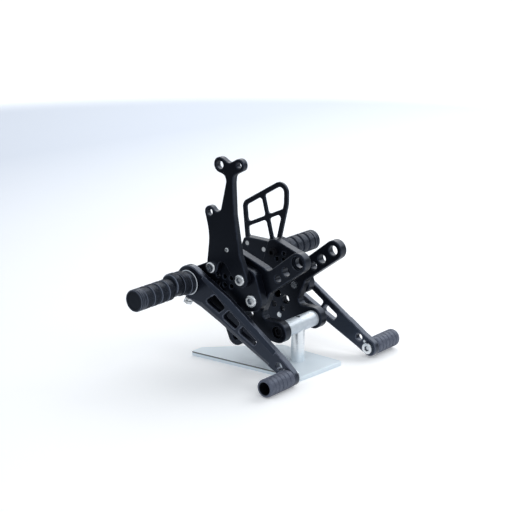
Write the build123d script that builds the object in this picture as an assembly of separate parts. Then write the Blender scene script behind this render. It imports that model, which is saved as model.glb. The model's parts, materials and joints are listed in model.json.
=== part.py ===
from build123d import *
import math
import os

# Rear footrest controls of a motorbike, right and left side, bolted to a display stand.
# X points forward on the bike, Y to its left and Z up, in millimetres. The origin lies on the floor
# under the middle of the stand's post. A place on a side plate is given as (x, z), and a distance
# outboard is counted from the middle plane, the same way on both sides.

# Stand
base_thickness = 5.0
base_nose_right = 33.0       # front right corner, ahead of the post
base_nose_left = 38.0        # front left corner, ahead of the post
base_tail = 105.0            # rear edge, behind the post
base_right_front = 38.5      # right edge at the nose, from the middle plane
base_right_rear = 51.0       # right edge at the tail
base_left = 28.0             # left edge
base_left_length = 42.0      # run of the left edge behind the post, before the clipped corner
base_tail_left = 34.0        # clipped corner's end at the tail, right of the middle plane
base_corner_radius = 3.0
base_edge = 0.5              # chamfer of the base plate's edges
post_radius = 7.2
bar_radius = 8.5
bar_height = 45.0            # axis of the cross bar above the floor
frame_gap = 50.0             # clear width between the two frame plates
grub_radius = 2.5
grub_sink = 0.6              # depth of the set screw's top below the crown of the bar
grub_grip = 10.0             # reach of the set screw into the post
grub_socket_depth = 5.0
base_stud_radius = 3.0
base_stud_head = 5.5         # flush head in the underside of the base plate
base_stud_length = 20.0
clamp_bolt_radius = 4.0
clamp_head_radius = 6.5
clamp_head_height = 5.0
clamp_head_sink = 1.8        # depth of the clamp bolt's head below the face of its boss
clamp_grip = 16.0            # reach of the clamp bolt into the cross bar

# Frame plates: places (x, z) of the bosses and their radii
frame_thickness = 10.0
upper_boss = (25.3, 123.8)
upper_boss_radius = 10.5
lower_boss_radius = 11.6
knee = (-24.0, 86.0)
knee_radius = 13.4
arm_root_radius = 9.5
crown = (-22.0, 103.0)
crown_radius = 9.0
rear_lobe = (-53.0, 112.0)
rear_lobe_radius = 10.0
rear_bulge = (-67.0, 58.0)
rear_bulge_radius = 12.0
low_lobe = (-56.0, 29.0)
low_lobe_radius = 10.5
web = (-40.0, 47.0)
web_radius = 12.2
chin_radius = 9.5
sill_radius = 8.0            # rail between the lower boss and the low lobe
plate_inner_radius = 6.0     # rounding of the inward corners of a plate's outline
edge_break = 0.7             # chamfer along the edges of plates and levers
upper_hole_radius = 5.2
upper_counterbore_radius = 7.6
upper_counterbore_depth = 4.0
arm_holes = [(11.0, 112.0, 4.8), (0.5, 102.5, 3.9)]
lightening_holes = [(-48.5, 63.0, 5.0), (-37.3, 58.0, 5.0), (-52.5, 50.0, 3.2), (-41.0, 46.6, 3.0)]
adjuster_holes = [(-49.0, 101.0, 2.4), (-40.0, 101.5, 2.4), (-39.2, 108.2, 2.4)]
low_lobe_hole_radius = 4.2

# Carrier plates, which hold the pivot of the lever and the peg
carrier_thickness = 10.0
pivot = (-100.0, 85.0)
pivot_boss_radius = 13.5
guard_rear_hole = (-98.0, 107.5)
guard_front_hole = (-75.0, 104.4)
rear_corner_radius = 6.8     # carrier's rear upper corner, around its rear screw or bolt
carrier_top = (-55.0, 106.0)
carrier_top_radius = 8.5
carrier_front = (-30.0, 98.5)
carrier_front_radius = 10.5
carrier_belly = (-80.0, 66.0)
carrier_belly_radius = 14.0
front_bolt = (-24.5, 77.0)
front_lobe_radius = 12.0
top_bolt = (-52.5, 108.0)
low_screw = (-45.0, 39.2)
grid_middle = (-62.0, 91.0)
grid_pitch = 9.0
grid_rows = 2
grid_columns = 3
grid_hole_radius = 2.4

# Bolts
bolt_clearance = 0.1         # between a shank and the plain hole it passes
thread_clearance = 0.05      # between a shank and its tapped hole
front_bolt_radius = 4.0
front_head_radius = 6.8
front_head_height = 4.6
bolt_proud = 1.0             # bare thread beyond the inner face
top_bolt_radius = 3.0
top_head_radius = 4.6
top_head_height = 5.0
low_screw_radius = 3.0
low_screw_depth = 6.0        # blind hole, from the frame plate's inner face
low_screw_proud = 0.8
button_radius = 3.0
button_head_radius = 6.0
button_head_height = 3.4
guard_screw_radius = 2.5
guard_head_radius = 4.6
guard_head_height = 2.8
socket_share = 0.55          # hexagon socket's corner radius, of the head's radius
crown_share = 0.55           # rounding of a button head, of its height
socket_depth_share = 0.55    # depth of the socket, of the head's height

# Tall plate for the brake master cylinder, right side only
tall_thickness = 7.0
tall_rear_ear = (-61.6, 215.5)
tall_rear_ear_radius = 8.0
tall_front_ear = (-36.5, 218.2)
tall_front_ear_radius = 6.6
tall_low_ear = (-76.0, 163.8)
tall_low_ear_radius = 6.6
tall_neck = (-48.9, 199.0)
tall_neck_radius = 4.5
tall_yoke = (-49.5, 211.0)
tall_yoke_radius = 6.5
tall_waist = (-52.2, 165.0)
tall_waist_radius = 9.3
tall_rear_side = (-66.6, 141.0)
tall_rear_side_radius = 9.6
tall_front_side = (-47.4, 121.0)
tall_front_side_radius = 12.0
tall_rear_bolt = (-73.5, 105.0)
tall_front_bolt = (-34.5, 98.8)
tall_rear_lobe_radius = 7.3
tall_front_lobe_radius = 8.6
tall_rear_ear_hole = 4.3
tall_front_ear_hole = 3.0
tall_low_ear_hole = 3.7
tall_screw = (-52.3, 127.7)
tall_screw_radius = 1.3
tall_screw_head_radius = 2.4
tall_screw_head_height = 1.4
tall_rear_ease = 60.0        # rounding of the hollow in the rear edge

# Heel guard, left side only: corners (x, z) going round from the rear foot, and their roundings
guard_thickness = 3.0
guard_corners = [(-108.4, 99.5), (-113.4, 149.5), (-49.9, 187.9), (-50.3, 155.7), (-64.4, 97.5)]
guard_roundings = [6.0, 10.0, 11.0, 30.0, 6.0]
guard_rim = 5.4              # width of the rim around the windows
guard_bar = 4.4              # width of the two bars between the windows
guard_cross = (-78.5, 138.0)  # where the bars cross
guard_upright = 104.8        # angle of the upright bar from the X axis, degrees
guard_level = 25.2           # angle of the other bar
guard_sill = 112.5           # lower end of the windows
guard_window_radius = 3.2
guard_edge = 0.4             # chamfer of the guard's edges

# Pivots, levers and pegs
pivot_bolt_radius = 5.0
pivot_head_radius = 8.0
pivot_head_height = 6.0
pivot_bolt_grip = 30.0       # reach of the pivot bolt into the peg
bush_radius = 9.0
bush_flange_radius = 12.5
running_clearance = 0.05     # radial, bush in the lever
side_clearance = 0.3         # along the pivot, each side of the lever
right_bush_flange = 5.3      # stands the brake lever off its carrier
left_bush_flange = 18.6      # stands the shift lever off its carrier
washer_radius = 13.4
washer_thickness = 1.6
lever_thickness = 7.5
brake_length = 152.8         # pivot to toe peg
shift_length = 163.2
hub_rise = 0.6               # the lever's hub stands this far above its pivot axis
hub_radius = 17.6
belly = (50.0, 3.8)          # along the lever from the pivot, and above the line to the toe peg
belly_radius = 15.2
neck_back = 12.8             # lever's neck, back from the toe peg
brake_neck_rise = 2.5
shift_neck_rise = 0.3
neck_radius = 9.0
toe_boss_radius = 9.2
upper_bevel = [(12.0, 14.8), (126.0, 7.6)]    # inner edge of the sloped flank on the outboard face
lower_bevel = [(126.0, -3.4), (24.0, -8.2), (5.0, -17.2)]
bevel_slope = 19.0           # degrees
toe_radius = 9.5
toe_length = 38.0
toe_lip = 1.2                # chamfer of the toe peg's ends
toe_groove_pitch = 6.0
toe_groove_depth = 0.35
toe_groove_width = 1.4
toe_grooves = 5
toe_mouth_radius = 6.6
toe_mouth_depth = 22.0
toe_bolt_grip = 11.0
brake_floor_gap = 0.4        # under the brake toe peg, as the lever hangs
shift_floor_gap = 1.6        # under the shift toe peg
brake_windows = [             # corners of each window, along and above the line to the toe peg
    [(27.0, -3.5), (48.0, -2.0), (52.5, 8.8), (34.0, 11.5)],
    [(53.5, -3.2), (73.6, -2.6), (76.0, 7.4), (57.2, 9.6)],
    [(77.8, -2.2), (101.8, -0.6), (103.0, 5.8), (80.2, 7.2)],
]
shift_windows = [
    [(30.0, -3.8), (54.0, -3.6), (56.0, 10.6), (34.0, 12.0)],
    [(60.0, -3.6), (90.0, -3.2), (91.5, 7.4), (62.0, 10.4)],
    [(95.0, -3.2), (112.5, -2.6), (113.5, 5.5), (95.5, 7.2)],
]
window_radius = 2.6
toe_spare_hole = 15.5        # spare hole for the toe peg, back from its axis
toe_spare_rise = 2.3         # above the middle line
toe_spare_radius = 3.9
toe_pin_back = 7.6           # dowel pin, back from the toe peg's axis
toe_pin_rise = 3.4           # above the middle line
toe_pin_radius = 1.5
toe_pin_proud = 0.4
stop_bolt_radius = 2.5
stop_bolt_flats = 9.0
stop_head_height = 3.2
stop_nut_flats = 8.5
stop_nut_height = 2.6
stop_bolt_depth = 6.0        # tapped hole in the lever's lower edge
stop_gap = 1.0               # bare thread between the nut and the head
stop_along = 4.6             # place along the lever's lower edge, from the pivot
peg_length = 73.0            # without the end cap
peg_radius = 11.6
peg_collar_radius = 12.4
peg_collar_length = 6.4
peg_rings = 6
peg_crown_radius = [12.9, 12.2]  # the two raised rings beside the collar
peg_crown_rise = [2.0, 3.4]      # their centres above the peg's axis
peg_crown_run = [0.8, 1.8]       # ramp at their outer ends, along the peg
peg_crown_drop = [0.8, 1.8]      # fall of that ramp
peg_crown_seat = 7.0             # inner radius of the raised rings, within the peg
peg_groove_width = 2.0
peg_groove_depth = 0.9
cap_thickness = 8.0
cap_plug_radius = 7.0
cap_plug_length = 8.0
cap_lip = 0.8

right = -1
left = 1

# Distances outboard from the middle plane, worked out from the stack of pieces
frame_inner = frame_gap / 2
frame_outer = frame_inner + frame_thickness
carrier_outer = frame_outer + carrier_thickness
tall_outer = carrier_outer + tall_thickness
guard_outer = carrier_outer + guard_thickness
flange_length = {right: right_bush_flange, left: left_bush_flange}
lever_length = {right: brake_length, left: shift_length}
floor_gap = {right: brake_floor_gap, left: shift_floor_gap}
neck_rise = {right: brake_neck_rise, left: shift_neck_rise}
hub = (0.0, hub_rise)
lower_boss = (0.0, bar_height)
clamp_seat = frame_outer - clamp_head_sink - clamp_head_height


def lever_inner(side):
    return carrier_outer + flange_length[side] + side_clearance


def lever_outer(side):
    return lever_inner(side) + lever_thickness


def washer_inner(side):
    return lever_outer(side) + side_clearance


def peg_inner(side):
    return washer_inner(side) + washer_thickness


# Outline helpers, all in the plane of a side plate

def disc(place, radius):
    return Pos(*place[:2]) * Circle(radius)


def link(first, second):
    (x1, z1), radius1 = first
    (x2, z2), radius2 = second
    heading = math.atan2(z2 - z1, x2 - x1)
    lean = math.acos((radius1 - radius2) / math.hypot(x2 - x1, z2 - z1))
    corners = []
    for angle, near_first in ((lean, True), (lean, False), (-lean, False), (-lean, True)):
        x, z, radius = (x1, z1, radius1) if near_first else (x2, z2, radius2)
        corners.append((x + radius * math.cos(heading + angle), z + radius * math.sin(heading + angle)))
    return make_face(Polyline(*corners, close=True)) + disc(*first) + disc(*second)


def ring_of_links(*discs):
    outline = make_face(Polyline(*[place for place, radius in discs], close=True))
    for index, first in enumerate(discs):
        outline += link(first, discs[(index + 1) % len(discs)])
    return outline


def eased(outline, radius):
    grown = offset(outline, amount=radius, kind=Kind.ARC)
    return offset(grown, amount=-radius, kind=Kind.ARC)


def slab(outline, side, inner, outer):
    top = max(side * inner, side * outer)
    plane = Plane(origin=(0, top, 0), x_dir=(1, 0, 0), z_dir=(0, -1, 0))
    return extrude(plane * outline, amount=outer - inner)


def rod(place, radius, side, inner, outer):
    middle = side * (inner + outer) / 2
    return Pos(place[0], middle, place[1]) * Rot(90, 0, 0) * Cylinder(radius, outer - inner)


def bored(plate, holes, side, inner, outer):
    for x, z, radius in holes:
        plate -= rod((x, z), radius, side, inner, outer)
        for face in (inner, outer):
            sink = Cone(radius + 2 * edge_break, radius, 2 * edge_break)
            turn = 90 if (face == inner) == (side == left) else -90
            plate -= Pos(x, side * face, z) * Rot(-turn, 0, 0) * sink
    return plate


def broken_edges(plate):
    return chamfer(plate.faces().filter_by(Axis.Y).edges(), edge_break)


def turned(points, place, side, start):
    profile = make_face(Polyline(*points, close=True))
    body = revolve(profile, axis=Axis.Y)
    turn = Rot(180, 0, 0) if side == right else Rot(0, 0, 0)
    return Pos(place[0], side * start, place[1]) * turn * body


def socket(place, radius, side, inner, outer):
    return slab(Pos(*place) * RegularPolygon(radius, 6), side, inner, outer)


def outboard_bolt(place, side, seat, shank_end, shank_radius, head_radius, head_height):
    top = seat + head_height
    head = rod(place, head_radius, side, seat, top)
    crown_edges = head.edges().filter_by(GeomType.CIRCLE).sort_by(Axis.Y)
    crown_edge = crown_edges[0] if side == right else crown_edges[-1]
    head = fillet(crown_edge, head_height * crown_share)
    head -= socket(place, head_radius * socket_share, side, top - head_height * socket_depth_share, top)
    return head + rod(place, shank_radius, side, shank_end, seat)


def inboard_bolt(place, side, seat, shank_end, shank_radius, head_radius, head_height):
    top = seat - head_height
    head = rod(place, head_radius, side, top, seat)
    head -= socket(place, head_radius * socket_share, side, top, top + head_height * socket_depth_share)
    return head + rod(place, shank_radius, side, seat, shank_end)


# Stand

def stand_base_plate():
    corners = [
        (base_nose_right, -base_right_front),
        (base_nose_left, base_left),
        (-base_left_length, base_left),
        (-base_tail, -base_tail_left),
        (-base_tail, -base_right_rear),
    ]
    outline = make_face(FilletPolyline(*corners, radius=base_corner_radius, close=True))
    plate = extrude(outline, amount=base_thickness)
    plate = chamfer(plate.faces().filter_by(Axis.Z).edges(), base_edge)
    return plate - base_stud_space(bolt_clearance)


def base_stud_space(room):
    head_depth = base_stud_head - base_stud_radius
    head = Pos(0, 0, head_depth / 2) * Cone(base_stud_head + room, base_stud_radius + room, head_depth)
    shank = Pos(0, 0, base_stud_length / 2) * Cylinder(base_stud_radius + room, base_stud_length)
    return head + shank


def stand_post():
    post = Pos(0, 0, (base_thickness + bar_height) / 2) * Cylinder(post_radius, bar_height - base_thickness)
    post -= rod(lower_boss, bar_radius, left, -frame_inner, frame_inner)
    post -= base_stud_space(thread_clearance)
    return post - grub_space(thread_clearance)


def grub_space(room):
    top = bar_height + bar_radius - grub_sink
    bottom = bar_height - bar_radius - grub_grip
    return Pos(0, 0, (top + bottom) / 2) * Cylinder(grub_radius + room, top - bottom + 2 * room)


def stand_bar_screw():
    top = bar_height + bar_radius - grub_sink
    hexagon = Pos(0, 0, top) * RegularPolygon(grub_radius * socket_share, 6)
    return grub_space(0) - extrude(hexagon, amount=-grub_socket_depth)


def stand_cross_bar():
    bar = rod(lower_boss, bar_radius, left, -frame_inner, frame_inner)
    for side in (right, left):
        tapped = clamp_bolt_radius + thread_clearance
        bar -= rod(lower_boss, tapped, side, frame_inner - clamp_grip, frame_inner)
    opening = Pos(0, 0, bar_height) * Cylinder(grub_radius + thread_clearance, 2 * bar_radius)
    return bar - opening


def clamp_bolt(side):
    return outboard_bolt(
        lower_boss, side, clamp_seat, frame_inner - clamp_grip,
        clamp_bolt_radius, clamp_head_radius, clamp_head_height,
    )


# Frame plates

def frame_outline():
    body = ring_of_links(
        (rear_lobe, rear_lobe_radius),
        (crown, crown_radius),
        (knee, knee_radius),
        (web, web_radius),
        (low_lobe, low_lobe_radius),
        (rear_bulge, rear_bulge_radius),
    )
    arm = link((knee, arm_root_radius), (upper_boss, upper_boss_radius))
    chin = link(((web[0], bar_height), chin_radius), (lower_boss, lower_boss_radius))
    sill = link((low_lobe, sill_radius), (lower_boss, sill_radius))
    return eased(body + arm + chin + sill, plate_inner_radius)


def frame_plate(side):
    plate = broken_edges(slab(frame_outline(), side, frame_inner, frame_outer))
    holes = arm_holes + lightening_holes + adjuster_holes
    holes = holes + [
        (*upper_boss, upper_hole_radius),
        (*low_lobe, low_lobe_hole_radius),
        (*lower_boss, clamp_bolt_radius + bolt_clearance),
        (*front_bolt, front_bolt_radius + bolt_clearance),
        (*top_bolt, top_bolt_radius + bolt_clearance),
    ]
    plate = bored(plate, holes, side, frame_inner, frame_outer)
    plate -= low_screw_space(side, 0, thread_clearance)
    upper_seat = frame_outer - upper_counterbore_depth
    plate -= rod(upper_boss, upper_counterbore_radius, side, upper_seat, frame_outer)
    return plate - rod(lower_boss, clamp_head_radius + bolt_clearance, side, clamp_seat, frame_outer)


def low_screw_space(side, proud, room):
    return rod(low_screw, low_screw_radius + room, side, frame_inner - proud, frame_inner + low_screw_depth)


def low_frame_screw(side):
    screw = low_screw_space(side, low_screw_proud, 0)
    return chamfer(screw.edges().filter_by(GeomType.CIRCLE), edge_break)


# Carrier plates

def carrier_plate(side):
    rear_corner = tall_rear_bolt if side == right else guard_rear_hole
    outline = ring_of_links(
        (pivot, pivot_boss_radius),
        (rear_corner, rear_corner_radius),
        (carrier_top, carrier_top_radius),
        (carrier_front, carrier_front_radius),
        (front_bolt, front_lobe_radius),
        (carrier_belly, carrier_belly_radius),
    )
    plate = broken_edges(slab(outline, side, frame_outer, carrier_outer))
    holes = [
        (*pivot, pivot_bolt_radius + bolt_clearance),
        (*front_bolt, front_bolt_radius + bolt_clearance),
        (*top_bolt, top_bolt_radius + thread_clearance),
    ]
    if side == right:
        tapped = button_radius + thread_clearance
        holes += [(*tall_rear_bolt, tapped), (*tall_front_bolt, tapped)]
    else:
        tapped = guard_screw_radius + thread_clearance
        holes += [(*guard_rear_hole, tapped), (*guard_front_hole, tapped)]
    for column in range(grid_columns):
        for row in range(grid_rows):
            x = grid_middle[0] + (column - (grid_columns - 1) / 2) * grid_pitch
            z = grid_middle[1] + (row - (grid_rows - 1) / 2) * grid_pitch
            holes.append((x, z, grid_hole_radius))
    return bored(plate, holes, side, frame_outer, carrier_outer)


def front_carrier_bolt(side):
    return outboard_bolt(
        front_bolt, side, carrier_outer, frame_inner - bolt_proud,
        front_bolt_radius, front_head_radius, front_head_height,
    )


def top_carrier_bolt(side):
    return inboard_bolt(
        top_bolt, side, frame_inner, carrier_outer, top_bolt_radius, top_head_radius, top_head_height
    )


# Tall plate for the brake master cylinder

def master_cylinder_plate():
    rear_ear = (tall_rear_ear, tall_rear_ear_radius)
    front_ear = (tall_front_ear, tall_front_ear_radius)
    low_ear = (tall_low_ear, tall_low_ear_radius)
    yoke = (tall_yoke, tall_yoke_radius)
    neck = (tall_neck, tall_neck_radius)
    waist = (tall_waist, tall_waist_radius)
    rear_side = (tall_rear_side, tall_rear_side_radius)
    front_side = (tall_front_side, tall_front_side_radius)
    outline = ring_of_links(waist, rear_side, front_side)
    outline += link(rear_ear, yoke) + link(front_ear, yoke) + link(yoke, neck) + link(neck, waist)
    rear_edge = link(low_ear, rear_side) + link(rear_side, (tall_rear_bolt, tall_rear_lobe_radius))
    outline += eased(rear_edge, tall_rear_ease)
    outline += link(front_side, (tall_front_bolt, tall_front_lobe_radius))
    plate = broken_edges(slab(eased(outline, plate_inner_radius), right, carrier_outer, tall_outer))
    holes = [
        (*tall_rear_ear, tall_rear_ear_hole),
        (*tall_front_ear, tall_front_ear_hole),
        (*tall_low_ear, tall_low_ear_hole),
        (*tall_rear_bolt, button_radius + bolt_clearance),
        (*tall_front_bolt, button_radius + bolt_clearance),
        (*tall_screw, tall_screw_radius + thread_clearance),
    ]
    return bored(plate, holes, right, carrier_outer, tall_outer)


def master_plate_bolt(place):
    return outboard_bolt(
        place, right, tall_outer, frame_outer, button_radius, button_head_radius, button_head_height
    )


def master_plate_screw():
    return outboard_bolt(
        tall_screw, right, tall_outer, carrier_outer,
        tall_screw_radius, tall_screw_head_radius, tall_screw_head_height,
    )


# Heel guard

def guard_windows(outline):
    span = 2 * (guard_corners[2][1] - guard_sill)
    openings = offset(outline, amount=-guard_rim)
    openings -= Pos(guard_cross[0], guard_sill - span / 2) * Rectangle(2 * span, span)
    for angle in (guard_upright, guard_level):
        openings -= Pos(*guard_cross) * Rot(0, 0, angle) * Rectangle(2 * span, guard_bar)
    for opening in openings.faces():
        shrunk = offset(opening, amount=-guard_window_radius)
        yield offset(shrunk, amount=guard_window_radius, kind=Kind.ARC)


def heel_guard():
    outline = make_face(FilletPolyline(*guard_corners, radius=guard_roundings, close=True))
    plate = outline
    for opening in guard_windows(outline):
        plate -= opening
    guard = slab(plate, left, carrier_outer, guard_outer)
    guard = chamfer(guard.faces().filter_by(Axis.Y).edges(), guard_edge)
    for x, z in (guard_rear_hole, guard_front_hole):
        guard -= rod((x, z), guard_screw_radius + bolt_clearance, left, carrier_outer, guard_outer)
    return guard


def heel_guard_screw(place):
    return outboard_bolt(
        place, left, guard_outer, frame_outer, guard_screw_radius, guard_head_radius, guard_head_height
    )


# Pivots

def pivot_bolt(side):
    end = peg_inner(side) + pivot_bolt_grip
    return inboard_bolt(
        pivot, side, frame_outer, end, pivot_bolt_radius, pivot_head_radius, pivot_head_height
    )


def pivot_bush(side):
    flange = rod(pivot, bush_flange_radius, side, carrier_outer, carrier_outer + flange_length[side])
    sleeve = rod(pivot, bush_radius, side, carrier_outer, washer_inner(side))
    bore = rod(pivot, pivot_bolt_radius + bolt_clearance, side, carrier_outer, washer_inner(side))
    return flange + sleeve - bore


def pivot_washer(side):
    inner = washer_inner(side)
    outer = peg_inner(side)
    bore = rod(pivot, pivot_bolt_radius + bolt_clearance, side, inner, outer)
    return rod(pivot, washer_radius, side, inner, outer) - bore


# Levers, drawn along +X from the pivot and then hung at their resting angle

def hung(piece, side):
    drop = pivot[1] - toe_radius - floor_gap[side]
    angle = math.degrees(math.asin(drop / lever_length[side]))
    return Pos(pivot[0], 0, pivot[1]) * Rot(0, angle, 0) * piece


def bevelled(arm, side, start, end):
    ahead = end[0] - start[0]
    above = end[1] - start[1]
    run = math.hypot(ahead, above)
    heading = math.degrees(math.atan2(above, ahead))
    spare = Pos(run / 2, side * hub_radius / 2, 0) * Box(run, hub_radius, 2 * hub_radius)
    edge = Pos(start[0], side * lever_outer(side), start[1]) * Rot(0, -heading, 0)
    return arm - edge * Rot(side * bevel_slope, 0, 0) * spare


def lever(side, windows):
    length = lever_length[side]
    neck = (length - neck_back, neck_rise[side])
    outline = link((hub, hub_radius), (belly, belly_radius))
    outline += link((belly, belly_radius), (neck, neck_radius))
    outline += link((neck, neck_radius), ((length, 0), toe_boss_radius))
    for corners in windows:
        outline -= make_face(FilletPolyline(*corners, radius=window_radius, close=True))
    inner = lever_inner(side)
    outer = lever_outer(side)
    arm = broken_edges(slab(outline, side, inner, outer))
    for line in (upper_bevel, lower_bevel):
        for start, end in zip(line, line[1:]):
            arm = bevelled(arm, side, start, end)
    holes = [
        (0, 0, bush_radius + running_clearance),
        (length, 0, button_radius + bolt_clearance),
        (length - toe_spare_hole, toe_spare_rise, toe_spare_radius),
        (length - toe_pin_back, toe_pin_rise, toe_pin_radius + thread_clearance),
    ]
    return bored(arm, holes, side, inner, outer)


def under_lever(piece):
    middle = (lever_inner(right) + lever_outer(right)) / 2
    rise = belly[1] - hub_rise
    taper = (hub_radius - belly_radius) / math.hypot(belly[0], rise)
    lean = math.degrees(math.asin(taper) + math.atan2(rise, belly[0]))
    seat = Pos(0, 0, hub_rise) * Rot(0, -lean, 0) * Pos(stop_along, right * middle, -hub_radius)
    return seat * piece


def stop_bolt_space(room):
    bottom = -stop_nut_height - stop_gap
    shank = Cylinder(stop_bolt_radius + room, stop_bolt_depth - bottom)
    return under_lever(Pos(0, 0, (stop_bolt_depth + bottom) / 2) * shank)


def brake_lever():
    return hung(lever(right, brake_windows) - stop_bolt_space(thread_clearance), right)


def shift_lever():
    return hung(lever(left, shift_windows), left)


def toe_peg(side):
    grooves = []
    first = (toe_length - (toe_grooves - 1) * toe_groove_pitch) / 2
    for index in range(toe_grooves):
        middle = first + index * toe_groove_pitch
        grooves += [
            (toe_radius, middle - toe_groove_width / 2),
            (toe_radius - toe_groove_depth, middle - toe_groove_width / 4),
            (toe_radius - toe_groove_depth, middle + toe_groove_width / 4),
            (toe_radius, middle + toe_groove_width / 2),
        ]
    bore = button_radius + thread_clearance
    points = [
        (bore, 0),
        (toe_radius - toe_lip, 0),
        (toe_radius, toe_lip),
        *grooves,
        (toe_radius, toe_length - toe_lip),
        (toe_radius - toe_lip, toe_length),
        (toe_mouth_radius, toe_length),
        (toe_mouth_radius, toe_length - toe_mouth_depth),
        (bore, toe_length - toe_mouth_depth),
    ]
    return hung(turned(points, (lever_length[side], 0), side, lever_outer(side)), side)


def toe_bolt(side):
    end = lever_outer(side) + toe_bolt_grip
    toe = (lever_length[side], 0)
    bolt = inboard_bolt(
        toe, side, lever_inner(side), end, button_radius, button_head_radius, button_head_height
    )
    return hung(bolt, side)


def toe_pin(side):
    place = (lever_length[side] - toe_pin_back, toe_pin_rise)
    return hung(rod(place, toe_pin_radius, side, lever_inner(side) - toe_pin_proud, lever_outer(side)), side)


def hexagon_block(flats, top, height):
    hexagon = Pos(0, 0, top - height) * RegularPolygon(flats / 2, 6, major_radius=False)
    return under_lever(extrude(hexagon, amount=height))


def brake_stop_nut():
    nut = hexagon_block(stop_nut_flats, 0, stop_nut_height)
    return hung(nut - stop_bolt_space(thread_clearance), right)


def brake_stop_bolt():
    head = hexagon_block(stop_bolt_flats, -stop_nut_height - stop_gap, stop_head_height)
    return hung(head + stop_bolt_space(0), right)


# Pegs

def footpeg(side):
    bore = pivot_bolt_radius + thread_clearance
    plug = cap_plug_radius + thread_clearance
    groove_radius = peg_radius - peg_groove_depth
    pitch = (peg_length - peg_collar_length) / peg_rings
    points = [(bore, 0), (peg_collar_radius, 0), (peg_collar_radius, peg_collar_length)]
    points += [(groove_radius, peg_collar_length + peg_groove_width / 4)]
    crowns = len(peg_crown_radius)
    for index in range(crowns, peg_rings):
        start = peg_collar_length + index * pitch
        points += [
            (groove_radius, start + peg_groove_width / 4),
            (groove_radius, start + peg_groove_width * 3 / 4),
            (peg_radius, start + peg_groove_width),
            (peg_radius, start + pitch),
        ]
    points += [
        (plug, peg_length),
        (plug, peg_length - cap_plug_length),
        (bore, peg_length - cap_plug_length),
    ]
    peg = turned(points, pivot, side, peg_inner(side))
    for index in range(crowns):
        start = peg_collar_length + index * pitch + peg_groove_width
        peg += raised_ring(side, index, start, start + pitch - peg_groove_width)
    return peg - rod(pivot, bore, side, peg_inner(side), peg_inner(side) + peg_length)


def raised_ring(side, index, start, end):
    radius = peg_crown_radius[index]
    points = [
        (peg_crown_seat, start),
        (radius, start),
        (radius, end - peg_crown_run[index]),
        (radius - peg_crown_drop[index], end),
        (peg_crown_seat, end),
    ]
    return turned(points, (pivot[0], pivot[1] + peg_crown_rise[index]), side, peg_inner(side))


def peg_end_cap(side):
    points = [
        (0, -cap_plug_length),
        (cap_plug_radius, -cap_plug_length),
        (cap_plug_radius, 0),
        (peg_radius, 0),
        (peg_radius, cap_thickness - cap_lip),
        (peg_radius - cap_lip, cap_thickness),
        (0, cap_thickness),
    ]
    return turned(points, pivot, side, peg_inner(side) + peg_length)


def each(make, *places):
    return Compound(children=[make(place) for place in places])


def both(make):
    return each(make, right, left)


nodes = {
    "stand_base_plate": stand_base_plate(),
    "stand_base_stud": base_stud_space(0),
    "stand_post": stand_post(),
    "stand_cross_bar": stand_cross_bar(),
    "stand_bar_screw": stand_bar_screw(),
    "stand_clamp_bolts": both(clamp_bolt),
    "right_frame_plate": frame_plate(right),
    "left_frame_plate": frame_plate(left),
    "low_frame_screws": both(low_frame_screw),
    "right_carrier_plate": carrier_plate(right),
    "left_carrier_plate": carrier_plate(left),
    "front_carrier_bolts": both(front_carrier_bolt),
    "top_carrier_bolts": both(top_carrier_bolt),
    "master_cylinder_plate": master_cylinder_plate(),
    "master_plate_bolts": each(master_plate_bolt, tall_rear_bolt, tall_front_bolt),
    "master_plate_screw": master_plate_screw(),
    "heel_guard": heel_guard(),
    "heel_guard_screws": each(heel_guard_screw, guard_rear_hole, guard_front_hole),
    "right_pivot_bolt": pivot_bolt(right),
    "left_pivot_bolt": pivot_bolt(left),
    "right_pivot_bush": pivot_bush(right),
    "left_pivot_bush": pivot_bush(left),
    "pivot_washers": both(pivot_washer),
    "right_footpeg": footpeg(right),
    "left_footpeg": footpeg(left),
    "peg_end_caps": both(peg_end_cap),
    "brake_lever": brake_lever(),
    "brake_toe_peg": toe_peg(right),
    "brake_toe_bolt": toe_bolt(right),
    "brake_toe_pin": toe_pin(right),
    "brake_stop_bolt": brake_stop_bolt(),
    "brake_stop_nut": brake_stop_nut(),
    "shift_lever": shift_lever(),
    "shift_toe_peg": toe_peg(left),
    "shift_toe_bolt": toe_bolt(left),
    "shift_toe_pin": toe_pin(left),
}

os.makedirs("parts", exist_ok=True)
for name, shape in nodes.items():
    export_step(shape, f"parts/{name}.step")
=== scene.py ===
import json
import math

import bmesh
import bpy
from mathutils import Matrix, Vector


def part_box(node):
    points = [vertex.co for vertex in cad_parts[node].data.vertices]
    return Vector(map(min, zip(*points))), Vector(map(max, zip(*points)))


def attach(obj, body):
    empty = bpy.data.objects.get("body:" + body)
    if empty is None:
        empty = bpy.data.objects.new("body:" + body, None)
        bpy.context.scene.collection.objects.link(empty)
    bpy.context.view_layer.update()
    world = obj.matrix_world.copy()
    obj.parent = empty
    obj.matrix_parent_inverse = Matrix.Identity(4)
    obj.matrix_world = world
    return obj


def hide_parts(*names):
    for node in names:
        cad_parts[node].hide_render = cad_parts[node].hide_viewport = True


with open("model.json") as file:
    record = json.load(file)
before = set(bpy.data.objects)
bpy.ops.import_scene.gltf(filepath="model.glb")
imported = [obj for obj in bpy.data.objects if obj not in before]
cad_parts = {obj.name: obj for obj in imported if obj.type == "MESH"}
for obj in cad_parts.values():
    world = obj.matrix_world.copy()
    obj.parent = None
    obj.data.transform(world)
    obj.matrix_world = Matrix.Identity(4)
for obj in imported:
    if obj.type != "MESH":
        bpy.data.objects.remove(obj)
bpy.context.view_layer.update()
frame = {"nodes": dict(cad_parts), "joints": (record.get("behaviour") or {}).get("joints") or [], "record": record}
nodes = frame["nodes"]
scene = bpy.context.scene
scene.view_settings.view_transform = "Standard"
print("frame loaded:", len(nodes), "nodes")


# shader helpers

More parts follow.
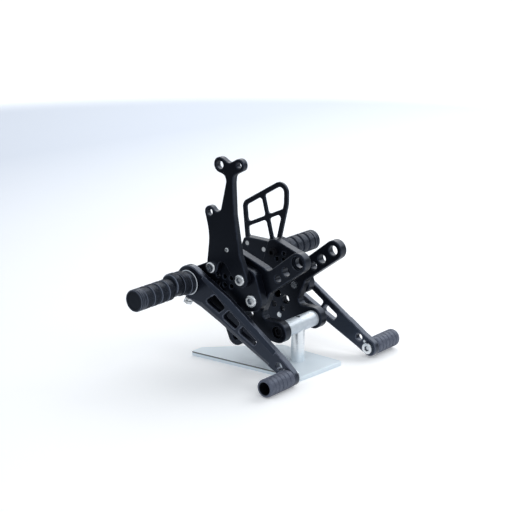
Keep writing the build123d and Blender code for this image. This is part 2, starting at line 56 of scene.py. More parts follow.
floatSocket, vectorSocket = "NodeSocketFloat", "NodeSocketVector"
mixShare, mixFirst, mixSecond, mixResult = 0, 6, 7, 2  # places of a Mix node's colour sockets


def addNode(tree, kind, **settings):
    node = tree.nodes.new(kind)
    for name, value in settings.items():
        setattr(node, name, value)
    return node


def feed(tree, socket, value):  # links another node's output, or sets a plain number, vector or colour
    if isinstance(value, bpy.types.NodeSocket):
        tree.links.new(value, socket)
    else:
        socket.default_value = value


def opaque(colour):
    return (*colour, 1)


def worked(tree, operation, *values, **settings):  # one step of arithmetic
    node = addNode(tree, "ShaderNodeMath", operation=operation, **settings)
    for socket, value in zip(node.inputs, values):
        feed(tree, socket, value)
    return node.outputs["Value"]


def dotted(tree, first, second):
    node = addNode(tree, "ShaderNodeVectorMath", operation="DOT_PRODUCT")
    feed(tree, node.inputs[0], first)
    feed(tree, node.inputs[1], second)
    return node.outputs["Value"]


def ranged(tree, value, start, end, toStart=0.0, toEnd=1.0, **settings):  # a value carried to another range
    node = addNode(tree, "ShaderNodeMapRange", **settings)
    feed(tree, node.inputs["Value"], value)
    for label, limit in (("From Min", start), ("From Max", end), ("To Min", toStart), ("To Max", toEnd)):
        node.inputs[label].default_value = limit
    return node.outputs["Result"]


def noised(tree, place, scale, detail):
    node = addNode(tree, "ShaderNodeTexNoise")
    for label, value in (("Vector", place), ("Scale", scale), ("Detail", detail)):
        feed(tree, node.inputs[label], value)
    return node.outputs["Fac"]


def mixed(tree, share, first, second):  # the second colour over the first, as far as the share says
    node = addNode(tree, "ShaderNodeMix", data_type="RGBA")
    for place, value in ((mixShare, share), (mixFirst, first), (mixSecond, second)):
        feed(tree, node.inputs[place], value)
    return node.outputs[mixResult]


def newGroup(name, inputs, outputs):
    group = bpy.data.node_groups.new(name, "ShaderNodeTree")
    for label, (kind, value) in inputs.items():
        socket = group.interface.new_socket(label, in_out="INPUT", socket_type=kind)
        socket.default_value = value
    for label, kind in outputs.items():
        group.interface.new_socket(label, in_out="OUTPUT", socket_type=kind)
    given, out = group.nodes.new("NodeGroupInput"), group.nodes.new("NodeGroupOutput")
    return group, given.outputs, out.inputs


def placeGroup(tree, group, values):
    node = addNode(tree, "ShaderNodeGroup", node_tree=group)
    for label, value in values.items():
        node.inputs[label].default_value = value
    return node.outputs


# effects that the finishes share

grainLook = {"grainScale": 1800.0, "grainDetail": 3.0, "patchScale": 45.0, "patchDetail": 4.0}


def blastedGrain():  # bead-blasted skin: fine grain, with broad faint patches
    look = grainLook
    group, given, out = newGroup("blastedGrain", {
        "Grain Scale": (floatSocket, look["grainScale"]),
        "Patch Scale": (floatSocket, look["patchScale"]),
    }, {"Grain": floatSocket, "Patch": floatSocket})
    place = addNode(group, "ShaderNodeTexCoord").outputs["Object"]
    feed(group, out["Grain"], noised(group, place, given["Grain Scale"], look["grainDetail"]))
    feed(group, out["Patch"], noised(group, place, given["Patch Scale"], look["patchDetail"]))
    return group


lineLook = {"lineScale": (30.0, 2500.0, 2500.0), "detail": 4.0}


def drawnLines():  # lines left by a brush, saw or lathe, stretched along the directions whose scale is small
    look = lineLook
    group, given, out = newGroup("drawnLines", {"Line Scale": (vectorSocket, look["lineScale"])},
                                 {"Lines": floatSocket})
    place = addNode(group, "ShaderNodeTexCoord").outputs["Object"]
    stretch = addNode(group, "ShaderNodeVectorMath", operation="MULTIPLY")
    feed(group, stretch.inputs[0], place)
    feed(group, stretch.inputs[1], given["Line Scale"])
    feed(group, out["Lines"], noised(group, stretch.outputs["Vector"], 1.0, look["detail"]))
    return group


bandLook = {"fromHeight": 0.004, "levelFrom": 0.9, "frontFrom": 0.3}  # faces turned further up or forward have none


def paintedTopShade():  # painted shade: a dark line along the upper edge of a plate's sides, where a small chamfer would turn from the light, but not on its front
    look = bandLook
    group, given, out = newGroup("paintedTopShade", {"From Height": (floatSocket, look["fromHeight"])},
                                 {"Shade Band": floatSocket})
    place = addNode(group, "ShaderNodeTexCoord").outputs
    spot, facing = addNode(group, "ShaderNodeSeparateXYZ"), addNode(group, "ShaderNodeSeparateXYZ")
    feed(group, spot.inputs["Vector"], place["Object"])
    feed(group, facing.inputs["Vector"], place["Normal"])
    above = worked(group, "GREATER_THAN", spot.outputs["Z"], given["From Height"])
    side = worked(group, "LESS_THAN", worked(group, "ABSOLUTE", facing.outputs["Z"]), look["levelFrom"])
    notFront = worked(group, "LESS_THAN", facing.outputs["X"], look["frontFrom"])
    sawn = worked(group, "MULTIPLY", side, notFront)
    feed(group, out["Shade Band"], worked(group, "MULTIPLY", above, sawn))
    return group


edgeLook = {"reach": 0.0008, "samples": 6, "straight": 0.997, "turned": 0.96,
            "patchScale": 160.0, "patchDetail": 2.0, "whole": 0.3, "paleInPlaces": 0.55}


def softEdgesWithHighlight():  # edges rounded off a little, and painted paler in places: partly wear, partly a painted highlight where the edges catch the light
    look = edgeLook
    group, given, out = newGroup("softEdgesWithHighlight", {
        "Reach": (floatSocket, look["reach"]),
        "Patch Scale": (floatSocket, look["patchScale"]),
    }, {"Wear And Highlight": floatSocket, "Normal": vectorSocket})
    bevel = addNode(group, "ShaderNodeBevel", samples=look["samples"])
    feed(group, bevel.inputs["Radius"], given["Reach"])
    rounded = bevel.outputs["Normal"]
    plain = addNode(group, "ShaderNodeNewGeometry").outputs["Normal"]
    edge = ranged(group, dotted(group, rounded, plain), look["straight"], look["turned"])
    place = addNode(group, "ShaderNodeTexCoord").outputs["Object"]
    patches = noised(group, place, given["Patch Scale"], look["patchDetail"])
    paleInPlaces = ranged(group, patches, look["whole"], look["paleInPlaces"])
    feed(group, out["Wear And Highlight"], worked(group, "MULTIPLY", edge, paleInPlaces))
    feed(group, out["Normal"], rounded)
    return group


hollowLook = {"reach": 0.006, "samples": 8, "open": 0.72, "closed": 0.4}


def recessDirt():  # painted shade: darker colour in sockets and other hollows, where little light reaches
    look = hollowLook
    group, given, out = newGroup("recessDirt", {"Reach": (floatSocket, look["reach"])}, {"Dirt": floatSocket})
    hollow = addNode(group, "ShaderNodeAmbientOcclusion", samples=look["samples"], only_local=True)
    feed(group, hollow.inputs["Distance"], given["Reach"])
    feed(group, out["Dirt"], ranged(group, hollow.outputs["AO"], look["open"], look["closed"]))
    return group


grainGroup = blastedGrain()
lineGroup = drawnLines()
topShadeGroup = paintedTopShade()
edgeWearHighlightGroup = softEdgesWithHighlight()
recessShadeGroup = recessDirt()


# finishes

noiseSpread = (0.3, 0.7)  # where most of a noise's values lie
plainSpecular, plainSheen, blueSheen = 0.5, (1.0, 1.0, 1.0), (0.58, 0.72, 1.0)


def finishMaterial(name, look):
    material = bpy.data.materials.new(name)
    material.use_nodes = True
    tree = material.node_tree
    shader = tree.nodes["Principled BSDF"]
    shader.inputs["Metallic"].default_value = look["metallic"]
    shader.inputs["Specular IOR Level"].default_value = look.get("specular", plainSpecular)
    shader.inputs["Specular Tint"].default_value = opaque(look.get("sheen", plainSheen))
    scales = {"Patch Scale": look["patchScale"]}
    if "grainScale" in look:
        scales["Grain Scale"] = look["grainScale"]
    grain = placeGroup(tree, grainGroup, scales)
    relief = grain["Grain"]
    if "lines" in look:  # drawn lines take the place of the grain
        relief = placeGroup(tree, lineGroup, {"Line Scale": look["lines"]})["Lines"]
    colour = mixed(tree, grain["Patch"], opaque(look["dark"]), opaque(look["light"]))
    bump = addNode(tree, "ShaderNodeBump")
    # painted shade: dark line along the top of the plate's sides
    if "edgeBand" in look:
        topShade = placeGroup(tree, topShadeGroup, {"From Height": look["edgeBand"]})
        colour = mixed(tree, topShade["Shade Band"], colour, opaque(look["edgeShade"]))
    # rounded edges, with wear and a painted highlight along them
    if "soften" in look:
        edges = placeGroup(tree, edgeWearHighlightGroup, {"Reach": look["soften"]})
        colour = mixed(tree, edges["Wear And Highlight"], colour, opaque(look["wearAndHighlight"]))
        feed(tree, bump.inputs["Normal"], edges["Normal"])
    # painted shade in sockets and hollows, mixed into the colour
    if "recess" in look:
        recessShade = placeGroup(tree, recessShadeGroup, {"Reach": look["recess"]})
        colour = mixed(tree, recessShade["Dirt"], colour, opaque(look["grime"]))
    feed(tree, shader.inputs["Base Color"], colour)
    feed(tree, shader.inputs["Roughness"], ranged(tree, relief, *noiseSpread, *look["rough"]))
    bump.inputs["Strength"].default_value = look["bump"]
    bump.inputs["Distance"].default_value = look["depth"]
    feed(tree, bump.inputs["Height"], relief)
    feed(tree, shader.inputs["Normal"], bump.outputs["Normal"])
    return material


finishes = {
    "plateBlack": {"metallic": 0.0, "specular": 0.38, "sheen": blueSheen, "rough": (0.27, 0.36),
                   "dark": (0.0022, 0.0026, 0.0044), "light": (0.0042, 0.0050, 0.0080),
                   # pale edges: wear and painted highlight
                   "soften": 0.0007, "wearAndHighlight": (0.042, 0.050, 0.072),
                   "grainScale": 1800.0, "patchScale": 45.0, "bump": 0.2, "depth": 0.00003},
    "leverBlack": {"metallic": 0.0, "specular": 0.70, "sheen": blueSheen, "rough": (0.27, 0.35),
                   "dark": (0.0045, 0.0054, 0.0090), "light": (0.0080, 0.0095, 0.0150),
                   # pale edges: wear and painted highlight
                   "soften": 0.0010, "wearAndHighlight": (0.190, 0.205, 0.255),
                   "grainScale": 1800.0, "patchScale": 45.0, "bump": 0.2, "depth": 0.00003},
    "pegDark": {"metallic": 0.0, "specular": 0.34, "sheen": blueSheen, "rough": (0.28, 0.38),
                "dark": (0.002, 0.003, 0.005), "light": (0.044, 0.050, 0.066),
                "grainScale": 1500.0, "patchScale": 300.0, "bump": 0.25, "depth": 0.00004},
    # painted highlight for the edges of the pegs' rings, grooves and caps
    "pegEdgeHighlight": {"metallic": 0.0, "specular": 0.60, "sheen": blueSheen, "rough": (0.26, 0.38),
                "dark": (0.07, 0.08, 0.105), "light": (0.17, 0.185, 0.23),
                "grainScale": 1500.0, "patchScale": 160.0, "bump": 0.2, "depth": 0.00003},
    "capFace": {"metallic": 0.0, "specular": 0.36, "sheen": blueSheen, "rough": (0.34, 0.46),
                "dark": (0.0040, 0.0055, 0.0075), "light": (0.0080, 0.0100, 0.0130),
                "grainScale": 1500.0, "patchScale": 200.0, "bump": 0.25, "depth": 0.00003},
    "toeDark": {"metallic": 0.0, "specular": 0.55, "sheen": blueSheen, "rough": (0.32, 0.44),
                "dark": (0.050, 0.056, 0.078), "light": (0.140, 0.152, 0.195),
                "grainScale": 1500.0, "patchScale": 300.0, "bump": 0.25, "depth": 0.00004},
    "zincBright": {"metallic": 1.0, "rough": (0.18, 0.28),
                   "dark": (0.68, 0.72, 0.75), "light": (0.82, 0.84, 0.86),
                   # painted shade in the bolts' sockets and hollows
                   "recess": 0.006, "grime": (0.20, 0.22, 0.25),
                   "grainScale": 1200.0, "patchScale": 260.0, "bump": 0.12, "depth": 0.00002},
    # painted highlight for the washers' outer corner
    "washerRimHighlight": {"metallic": 0.3, "specular": 0.6, "rough": (0.30, 0.40),
                     "dark": (0.74, 0.80, 0.88), "light": (0.88, 0.92, 0.97),
                     "grainScale": 1200.0, "patchScale": 260.0, "bump": 0.12, "depth": 0.00002},
    "oxideBlack": {"metallic": 0.0, "specular": 0.3, "sheen": blueSheen, "rough": (0.30, 0.42),
                   "dark": (0.005, 0.005, 0.006), "light": (0.010, 0.010, 0.012),
                   "grainScale": 1500.0, "patchScale": 200.0, "bump": 0.2, "depth": 0.00003},
    "baseAlloy": {"metallic": 0.1, "rough": (0.36, 0.48),
                  "dark": (0.77, 0.87, 0.94), "light": (0.83, 0.91, 0.97),
                  # painted shade along the top of the base plate's sides
                  "edgeBand": 0.0037, "edgeShade": (0.16, 0.17, 0.165),
                  "lines": (2200.0, 25.0, 2200.0), "patchScale": 30.0, "bump": 0.1, "depth": 0.00002},
    "postAlloy": {"metallic": 1.0, "rough": (0.24, 0.34),
                  "dark": (0.84, 0.89, 0.93), "light": (0.92, 0.95, 0.97),
                  "lines": (15.0, 15.0, 2600.0), "patchScale": 40.0, "bump": 0.02, "depth": 0.00001},
    "barAlloy": {"metallic": 0.6, "rough": (0.42, 0.56),
                 "dark": (0.50, 0.56, 0.62), "light": (0.76, 0.81, 0.86),
                 "lines": (15.0, 2600.0, 15.0), "patchScale": 170.0, "bump": 0.04, "depth": 0.00001},
}
materials = {name: finishMaterial(name, look) for name, look in finishes.items()}

slotFinish = {"black_plate": "plateBlack", "peg": "pegDark", "zinc_bolt": "zincBright",
              "black_bolt": "oxideBlack", "bare_stand": "baseAlloy", "bush": "oxideBlack"}
nodeFinish = {"brake_lever": "leverBlack", "shift_lever": "leverBlack",
              "stand_post": "postAlloy", "stand_cross_bar": "barAlloy"}
for part in frame["record"]["subparts"]:
    name = part["node"]
    finish = materials[nodeFinish.get(name, slotFinish[part["material_slot"]])]
    mesh = nodes[name].data
    mesh.materials.clear()
    mesh.materials.append(finish)
print("materials set:", len(materials))


# ringed and knurled pegs, built along Z and then laid on their axes

mergeDistance = 1e-7
smoothAngle = 25.0


def spun(name, profile, steps):  # closed profile turned about Z: radius, height and, if any, the next face's finish
    mesh = bpy.data.meshes.new(name)
    form = bmesh.new()
    rows = []
    for step in range(steps):
        turn = 2 * math.pi * step / steps
        row = [(radius * math.cos(turn), radius * math.sin(turn), height) for radius, height, *_ in profile]
        rows.append([form.verts.new(spot) for spot in row])
    for here, there in zip(rows, rows[1:] + rows[:1]):
        for k, (_, _, *finish) in enumerate(profile):
            after = (k + 1) % len(profile)
            face = form.faces.new((here[k], there[k], there[after], here[after]))
            face.material_index = finish[0] if finish else 0
    bmesh.ops.remove_doubles(form, verts=form.verts, dist=mergeDistance)
    bmesh.ops.recalc_face_normals(form, faces=form.faces)
    form.to_mesh(mesh)
    form.free()
    return mesh


def toothMesh(name, tooth):  # one knurl tooth, pointing along X, lying along Z
    mesh = bpy.data.meshes.new(name)
    form = bmesh.new()
    rise, length = tooth["height"], tooth["length"]
    corners = ((-1, -1), (1, -1), (1, 1), (-1, 1))
    levels = []
    for x, width, half in ((-rise, tooth["foot"], length / 2), (rise, tooth["crest"], length / 2 - rise)):
        levels.append([form.verts.new((x, side * width / 2, end * half)) for side, end in corners])
    low, high = levels
    form.faces.new(low)
    form.faces.new(high)
    for k in range(len(corners)):
        after = (k + 1) % len(corners)
        form.faces.new((low[k], low[after], high[after], high[k]))
    bmesh.ops.recalc_face_normals(form, faces=form.faces)
    form.to_mesh(mesh)
    form.free()
    return mesh


def knurlGroup():  # rings of teeth about Z, repeated in rows along it
    group = bpy.data.node_groups.new("knurlRows", "GeometryNodeTree")
    wanted = [("Geometry", "NodeSocketGeometry"), ("Tooth", "NodeSocketObject"), ("Teeth", "NodeSocketInt"),
              ("Rows", "NodeSocketInt"), ("First Row", floatSocket), ("Row Pitch", floatSocket),
              ("Radius", floatSocket), ("Finish", "NodeSocketMaterial")]
    for label, kind in wanted:
        group.interface.new_socket(label, in_out="INPUT", socket_type=kind)
    group.interface.new_socket("Geometry", in_out="OUTPUT", socket_type="NodeSocketGeometry")
    given, out = group.nodes.new("NodeGroupInput"), group.nodes.new("NodeGroupOutput")
    circle = addNode(group, "GeometryNodeMeshCircle", fill_type="NONE")
    place = addNode(group, "GeometryNodeInputPosition")
    align = addNode(group, "FunctionNodeAlignRotationToVector", axis="X", pivot_axis="Z")
    tooth = addNode(group, "GeometryNodeObjectInfo")
    ring = addNode(group, "GeometryNodeInstanceOnPoints")
    start = addNode(group, "ShaderNodeCombineXYZ")
    stride = addNode(group, "ShaderNodeCombineXYZ")
    line = addNode(group, "GeometryNodeMeshLine", mode="OFFSET")
    rows = addNode(group, "GeometryNodeInstanceOnPoints")
    real = addNode(group, "GeometryNodeRealizeInstances")
    paint = addNode(group, "GeometryNodeSetMaterial")
    link = group.links.new
    link(given.outputs["Teeth"], circle.inputs["Vertices"])
    link(given.outputs["Radius"], circle.inputs["Radius"])
    link(place.outputs["Position"], align.inputs["Vector"])
    link(given.outputs["Tooth"], tooth.inputs["Object"])
    link(circle.outputs["Mesh"], ring.inputs["Points"])
    link(tooth.outputs["Geometry"], ring.inputs["Instance"])
    link(align.outputs["Rotation"], ring.inputs["Rotation"])
    link(given.outputs["First Row"], start.inputs["Z"])
    link(given.outputs["Row Pitch"], stride.inputs["Z"])
    link(given.outputs["Rows"], line.inputs["Count"])
    link(start.outputs["Vector"], line.inputs["Start Location"])
    link(stride.outputs["Vector"], line.inputs["Offset"])
    link(line.outputs["Mesh"], rows.inputs["Points"])
    link(ring.outputs["Instances"], rows.inputs["Instance"])
    link(rows.outputs["Instances"], real.inputs["Geometry"])
    link(real.outputs["Geometry"], paint.inputs["Geometry"])
    link(given.outputs["Finish"], paint.inputs["Material"])
    link(paint.outputs["Geometry"], out.inputs["Geometry"])
    return group


knurl = knurlGroup()
socketId = {item.name: item.identifier for item in knurl.interface.items_tree if item.in_out == "INPUT"}


def knurlTeeth(name, tooth, rows, finish):  # rows of teeth as one plain mesh
    holder = bpy.data.objects.new(name + ".rows", bpy.data.meshes.new(name + ".rows"))
    toothPiece = bpy.data.objects.new(name + ".tooth", toothMesh(name + ".tooth", tooth))
    scene.collection.objects.link(holder)
    scene.collection.objects.link(toothPiece)
    step = holder.modifiers.new("knurlRows", "NODES")
    step.node_group = knurl
    for label, value in {"Tooth": toothPiece, "Finish": finish, **rows}.items():
        step[socketId[label]] = value
    bpy.context.view_layer.update()
    seen = holder.evaluated_get(bpy.context.evaluated_depsgraph_get())
    mesh = bpy.data.meshes.new_from_object(seen)
    for face in mesh.polygons:
        face.material_index = 0  # the first finish of the piece that takes the teeth
    bpy.data.objects.remove(holder)
    bpy.data.objects.remove(toothPiece)
    return mesh


def joined(name, meshes, finishNames):  # several meshes as one object, smooth over small angles
    form = bmesh.new()
    for mesh in meshes:
        form.from_mesh(mesh)
    whole = bpy.data.meshes.new(name)
    form.to_mesh(whole)
    form.free()
    for finishName in finishNames:
        whole.materials.append(materials[finishName])
    for face in whole.polygons:
        face.use_smooth = True
    whole.set_sharp_from_angle(angle=math.radians(smoothAngle))
    piece = bpy.data.objects.new(name, whole)
    scene.collection.objects.link(piece)
    return piece


def alongY(x, y, z, outward):  # turns a piece's Z axis to +Y or -Y, with its start at the given point
    return Matrix.Translation((x, y, z)) @ Matrix.Rotation(-outward * math.pi / 2, 4, "X")


def placed(mesh, lay):
    mesh.transform(lay)
    return mesh


def spunPair(name, profile, look, low, high):  # one turned shape at each outer end of the pegs' axis
    thick = look["thickness"]
    meshes = []
    for outward, start in ((-1, low.y + thick), (1, high.y - thick)):
        lay = alongY(pegAxis[0], start, pegAxis[1], outward)
        meshes.append(placed(spun(name, profile, look["roundSteps"]), lay))
    return joined(name, meshes, look["finishes"])


pivot = frame["joints"][0]["pos_m"]
pegAxis = (pivot[0], pivot[2])

pegLook = {"teeth": 48, "crownTeeth": 52, "toothHeight": 0.00050, "toothFoot": 0.00125, "toothCrest": 0.00040,
           "collarRadius": 0.0124, "collarLength": 0.0064, "bore": 0.0055, "seat": 0.0070, "roundSteps": 96,
           "rings": 6, "ringRadius": 0.0116, "grooveWidth": 0.0020, "grooveRadius": 0.0099,
           "edge": 0.0005, "shoulder": 0.0013, "fall": 0.0008, "browLift": 0.6, "highlightShare": 0.5,
           "crowns": [(0.0129, 0.0020, 0.0008, 0.0008), (0.0122, 0.0034, 0.0018, 0.0018)],  # radius, lift, run, drop
           "finishes": ("pegDark", "pegEdgeHighlight")}
# faces with a painted highlight, on the edges of rings, grooves and lips
edgeHighlightFinish = 1


def slope(start, end, share):  # edge face of a ring, with a painted highlight over its first part only
    middle = [a + (b - a) * share for a, b in zip(start, end)]
    return [(*start, edgeHighlightFinish), tuple(middle), end]


def footpeg(name, node, outward):
    low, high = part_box(node)
    look = pegLook
    length = high.y - low.y
    bore, steps, share = look["bore"], look["roundSteps"], look["highlightShare"]
    rise, edge, groove = look["toothHeight"], look["edge"], look["grooveWidth"]
    shoulder, fall = look["shoulder"], look["fall"]  # sloped outer edge of each ring
    collar, collarEnd = look["collarRadius"], look["collarLength"]
    pitch = (length - collarEnd) / look["rings"]
    radius, bottom = look["ringRadius"] - rise, look["grooveRadius"]
    first = len(look["crowns"])
    profile = [(bore, 0), (collar - edge, 0), (collar, edge), (collar, collarEnd - edge, edgeHighlightFinish),
               (collar - edge, collarEnd), (bottom, collarEnd + groove / 4)]
    for k in range(first, look["rings"]):
        start = collarEnd + k * pitch
        profile += [(bottom, start + groove / 4), (bottom, start + groove * 3 / 4),
                    (radius - edge, start + groove), (radius, start + groove + edge)]
        brow = (radius + rise * look["browLift"], start + pitch - shoulder)
        profile += slope(brow, (radius - fall, start + pitch), share)
    profile.append((bore, length))
    inner = low.y if outward > 0 else high.y
    lay = alongY(pegAxis[0], inner, pegAxis[1], outward)
    pegFinish = materials[look["finishes"][0]]
    toothLength = pitch - groove - shoulder
    tooth = {"height": rise, "length": toothLength, "foot": look["toothFoot"], "crest": look["toothCrest"]}
    rows = {"Teeth": look["teeth"], "Rows": look["rings"] - first, "Row Pitch": pitch, "Radius": radius,
            "First Row": collarEnd + first * pitch + groove + toothLength / 2}
    meshes = [placed(spun(name, profile, steps), lay), placed(knurlTeeth(name, tooth, rows, pegFinish), lay)]
    for k, (crown, lift, run, drop) in enumerate(look["crowns"]):  # raised rings, high on the upper side only
        start = collarEnd + k * pitch + groove
        end = start + pitch - groove
        top = crown - rise
        ring = [(look["seat"], start), (top - edge, start), (top, start + edge)]
        ring += slope((top, end - run), (crown - drop, end), share)
        ring.append((look["seat"], end))
        flat = end - run - start
        rows = {"Teeth": look["crownTeeth"], "Rows": 1, "Row Pitch": pitch, "Radius": top,
                "First Row": start + flat / 2}
        lay = alongY(pegAxis[0], inner, pegAxis[1] + lift, outward)
        meshes.append(placed(spun(name, ring, steps), lay))
        meshes.append(placed(knurlTeeth(name, {**tooth, "length": flat}, rows, pegFinish), lay))
    piece = joined(name, meshes, look["finishes"])
    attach(piece, "stand")
    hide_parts(node)


footpeg("rightPegSleeve", "right_footpeg", -1)
footpeg("leftPegSleeve", "left_footpeg", 1)
print("footpegs knurled")


capLook = {"radius": 0.0116, "thickness": 0.008, "lip": 0.0008, "lipRound": 0.3, "rim": 0.0012, "sink": 0.0007,
           "dishWall": 0.5, "dishMiddle": 0.55, "dishDepth": 0.8, "roundSteps": 96,
           "sideGrooves": (0.0028, 0.0052), "grooveWidth": 0.0009, "grooveDepth": 0.0005,
           "finishes": ("pegDark", "pegEdgeHighlight", "capFace")}
capFinish = 2


def endCaps(name, node):
    low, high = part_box(node)
    look = capLook
    outer, deep, wide = look["radius"], look["grooveDepth"], look["grooveWidth"]
    profile = [(0, 0), (outer, 0)]
    for start in look["sideGrooves"]:
        profile += [(outer, start, edgeHighlightFinish), (outer - deep, start + wide / 3),
                    (outer - deep, start + wide * 2 / 3), (outer, start + wide)]
    lip, sink, end = look["lip"], look["sink"], look["thickness"]
    turned = lip * look["lipRound"]
    inside = outer - lip - look["rim"]
    profile += [(outer, end - lip), (outer - turned, end - turned, edgeHighlightFinish), (outer - lip, end),
                (inside, end, capFinish), (inside - sink * look["dishWall"], end - sink, capFinish),
                (inside * look["dishMiddle"], end - sink * look["dishDepth"], capFinish), (0, end - sink)]
    piece = spunPair(name, profile, look, low, high)
    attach(piece, "stand")
    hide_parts(node)


endCaps("pegEndCaps", "peg_end_caps")
print("end caps turned")


washerLook = {"radius": 0.0134, "thickness": 0.0016, "bore": 0.0055, "lip": 0.0003, "highlightWidth": 0.0007,
              "roundSteps": 96, "finishes": ("oxideBlack", "washerRimHighlight")}
rimHighlightFinish = 1


def pivotWashers(name, node):  # dark washers whose outer corner is painted pale, a painted highlight along the rim
    low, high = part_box(node)
    look = washerLook
    outer, thick, lip, bore = look["radius"], look["thickness"], look["lip"], look["bore"]
    profile = [(bore, 0), (outer, 0), (outer, thick - lip, rimHighlightFinish), (outer - lip, thick, rimHighlightFinish),
               (outer - lip - look["highlightWidth"], thick), (bore, thick)]
    piece = spunPair(name, profile, look, low, high)
    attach(piece, "stand")
    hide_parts(node)


pivotWashers("pivotWasherRings", "pivot_washers")
print("washers turned")


toeLook = {"teeth": 60, "toothHeight": 0.00018, "toothFoot": 0.00080, "toothCrest": 0.00035, "roundSteps": 96,
           "grooves": 5, "groovePitch": 0.006, "grooveWidth": 0.0011, "grooveDepth": 0.00040,
           "grooveShape": ((-0.5, 0), (-0.25, 1), (0.25, 1), (0.5, 0)),  # shares of its width and depth
           "lip": 0.0012, "lipRound": 0.3, "bore": 0.0030,
           "mouthRadius": 0.0066, "mouthDepth": 0.022, "mouthEdge": 0.0004, "finishes": ("toeDark", "capFace")}
mouthFinish = 1


def toePeg(name, node, body, outward):
    low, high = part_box(node)
    look = toeLook
    length = high.y - low.y
    rise, lip, bore = look["toothHeight"], look["lip"], look["bore"]
    turned = lip * look["lipRound"]
    radius = (high.z - low.z) / 2 - rise
    pitch = look["groovePitch"]
    first = (length - (look["grooves"] - 1) * pitch) / 2
    profile = [(bore, 0), (radius - lip, 0), (radius - turned, turned), (radius, lip)]
    for k in range(look["grooves"]):
        for side, depth in look["grooveShape"]:
            profile.append((radius - depth * look["grooveDepth"], first + k * pitch + side * look["grooveWidth"]))
    mouth, mouthEdge, floorAt = look["mouthRadius"], look["mouthEdge"], length - look["mouthDepth"]
    profile += [(radius, length - lip), (radius - turned, length - turned), (radius - lip, length),
                (mouth + mouthEdge, length, mouthFinish), (mouth, length - mouthEdge, mouthFinish),
                (mouth, floorAt, mouthFinish), (bore, floorAt, mouthFinish)]
    tooth = {"height": rise, "length": pitch - look["grooveWidth"],
             "foot": look["toothFoot"], "crest": look["toothCrest"]}
    rows = {"Teeth": look["teeth"], "Rows": look["grooves"] + 1, "Row Pitch": pitch, "Radius": radius,
            "First Row": first - pitch / 2}
    inner = low.y if outward > 0 else high.y
    lay = alongY((low.x + high.x) / 2, inner, (low.z + high.z) / 2, outward)
    sleeve = spun(name, profile, look["roundSteps"])
    teeth = knurlTeeth(name, tooth, rows, materials[look["finishes"][0]])
    piece = joined(name, [placed(sleeve, lay), placed(teeth, lay)], look["finishes"])
    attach(piece, body)
    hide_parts(node)


toePeg("brakeToeSleeve", "brake_toe_peg", "brake", -1)
toePeg("shiftToeSleeve", "shift_toe_peg", "shift", 1)
print("toe pegs knurled")


# floor, light and camera

stageLook = {"floorSize": 16.0, "roughness": 0.7, "specular": 0.2,
             "white": (0.98, 0.982, 0.985), "blue": (0.56, 0.60, 0.67),
             "tintFrom": 0.15, "tintTo": -1.45,  # along the object, painted shade: bluer and darker to its rear
             "backFrom": 0.3, "backTo": 1.4, "backShade": 0.36, "farFrom": 1.46, "farTo": 1.72,  # distances from it, over which the painted shade grows and then fades
             "lift": 0.22, "farLift": 0.55,
             "mirrorTint": (0.93, 0.96, 1.0), "mirrorAway": (0.6, 0.8, 0.0),  # what metal sees, paler away behind it
             "mirrorFrom": -0.68, "mirrorTo": 0.1, "mirrorNear": 0.08, "mirrorFar": 1.0}


def floorMaterial(look):
    material = bpy.data.materials.new("floorWhite")
    material.use_nodes = True
    tree = material.node_tree
    shader = tree.nodes["Principled BSDF"]
    shader.inputs["Roughness"].default_value = look["roughness"]
    shader.inputs["Specular IOR Level"].default_value = look["specular"]
    place = addNode(tree, "ShaderNodeTexCoord").outputs["Object"]
    parts = addNode(tree, "ShaderNodeSeparateXYZ")
    feed(tree, parts.inputs["Vector"], place)
    size = addNode(tree, "ShaderNodeVectorMath", operation="LENGTH")
    feed(tree, size.inputs[0], place)
    away = size.outputs["Value"]  # distance from the stand
    # painted shade: the floor is darker and bluer to the object's rear and further from it, where less light falls,
    # and white again far off
    rear = ranged(tree, parts.outputs["X"], look["tintFrom"], look["tintTo"])
    back = ranged(tree, away, look["backFrom"], look["backTo"], toEnd=look["backShade"],
                  interpolation_type="SMOOTHSTEP")
    far = ranged(tree, away, look["farFrom"], look["farTo"], interpolation_type="SMOOTHSTEP")
    whole = worked(tree, "ADD", rear, back, use_clamp=True)
    near = worked(tree, "SUBTRACT", 1.0, far)
    blue = worked(tree, "MULTIPLY", whole, near)
    tint = mixed(tree, blue, opaque(look["white"]), opaque(look["blue"]))
    feed(tree, shader.inputs["Base Color"], tint)
    path = addNode(tree, "ShaderNodeLightPath").outputs
    level = ranged(tree, far, 0.0, 1.0, look["lift"], look["farLift"])
    glow = addNode(tree, "ShaderNodeEmission")  # seen by the camera only
    feed(tree, glow.inputs["Color"], tint)
    feed(tree, glow.inputs["Strength"], worked(tree, "MULTIPLY", path["Is Camera Ray"], level))
    total = addNode(tree, "ShaderNodeAddShader")
    feed(tree, total.inputs[0], shader.outputs["BSDF"])
    feed(tree, total.inputs[1], glow.outputs["Emission"])
    swell = ranged(tree, dotted(tree, place, look["mirrorAway"]), look["mirrorFrom"], look["mirrorTo"],
                   look["mirrorNear"], look["mirrorFar"])
    mirror = addNode(tree, "ShaderNodeEmission")  # seen in reflections only
    mirror.inputs["Color"].default_value = opaque(look["mirrorTint"])
    feed(tree, mirror.inputs["Strength"], swell)
    choice = addNode(tree, "ShaderNodeMixShader")
    feed(tree, choice.inputs["Fac"], path["Is Glossy Ray"])
    feed(tree, choice.inputs[1], total.outputs["Shader"])
    feed(tree, choice.inputs[2], mirror.outputs["Emission"])
    feed(tree, tree.nodes["Material Output"].inputs["Surface"], choice.outputs["Shader"])
    return material


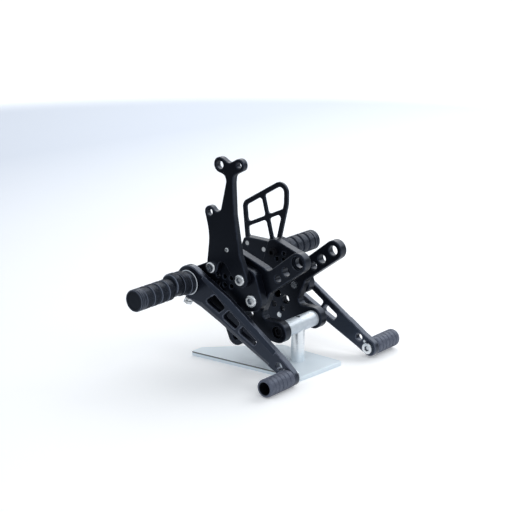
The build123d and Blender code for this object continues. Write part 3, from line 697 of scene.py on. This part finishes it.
def makeFloor():
    mesh = bpy.data.meshes.new("floor")
    form = bmesh.new()
    bmesh.ops.create_grid(form, x_segments=2, y_segments=2, size=stageLook["floorSize"] / 2)
    form.to_mesh(mesh)
    form.free()
    mesh.materials.append(floorMaterial(stageLook))
    floor = bpy.data.objects.new("floor", mesh)
    scene.collection.objects.link(floor)


worldLook = {"strength": 1.0, "tint": (0.9, 0.95, 1.0), "away": (-0.2, 0.93, 0.3),
             "front": 0.72, "overhead": 0.66, "overheadAt": 0.65, "behind": 0.24}


def makeWorld():  # bright before the object and overhead, dim away behind it
    look = worldLook
    world = bpy.data.worlds.new("studio")
    scene.world = world
    world.use_nodes = True
    tree = world.node_tree
    sky = tree.nodes["Background"]
    place = addNode(tree, "ShaderNodeTexCoord").outputs["Generated"]
    reach = ranged(tree, dotted(tree, place, look["away"]), -1.0, 1.0)
    ramp = addNode(tree, "ShaderNodeValToRGB")
    shades = {at: opaque([look[at] * part for part in look["tint"]]) for at in ("front", "overhead", "behind")}
    stops = ramp.color_ramp.elements
    stops[0].color = shades["front"]
    stops[1].color = shades["behind"]
    stops.new(look["overheadAt"]).color = shades["overhead"]
    sky.inputs["Strength"].default_value = look["strength"]
    feed(tree, ramp.inputs["Fac"], reach)
    feed(tree, sky.inputs["Color"], ramp.outputs["Color"])


lampLook = {
    "keyLamp": {"place": (-0.19, 1.43, 1.25), "power": 30.0, "size": (2.6, 1.3)},
    "fillLamp": {"place": (1.4, -0.1, 1.3), "power": 4.0, "size": (1.0, 1.0)},
}
lampAim = (-0.02, 0.0, 0.09)


def makeLamp(name, look):
    lamp = bpy.data.lights.new(name, "AREA")
    lamp.energy = look["power"]
    lamp.shape = "RECTANGLE"
    lamp.size, lamp.size_y = look["size"]
    holder = bpy.data.objects.new(name, lamp)
    holder.location = look["place"]
    aim = Vector(lampAim) - holder.location
    holder.rotation_euler = aim.to_track_quat("-Z", "Y").to_euler()
    scene.collection.objects.link(holder)


cameraLook = {"place": (0.9085, -1.1710, 0.5579), "turn": (73.5, 0.0, 39.5), "lens": 105.47, "sensor": 36.0,
              "clipStart": 0.01, "clipEnd": 60.0}


def makeCamera():
    look = cameraLook
    camera = bpy.data.cameras.new("camera")
    camera.lens = look["lens"]
    camera.sensor_width = look["sensor"]
    camera.clip_start = look["clipStart"]
    camera.clip_end = look["clipEnd"]
    holder = bpy.data.objects.new("camera", camera)
    holder.location = look["place"]
    holder.rotation_euler = [math.radians(angle) for angle in look["turn"]]
    scene.collection.objects.link(holder)
    scene.camera = holder


makeFloor()
makeWorld()
for lampName, look in lampLook.items():
    makeLamp(lampName, look)
makeCamera()
print("stage set")
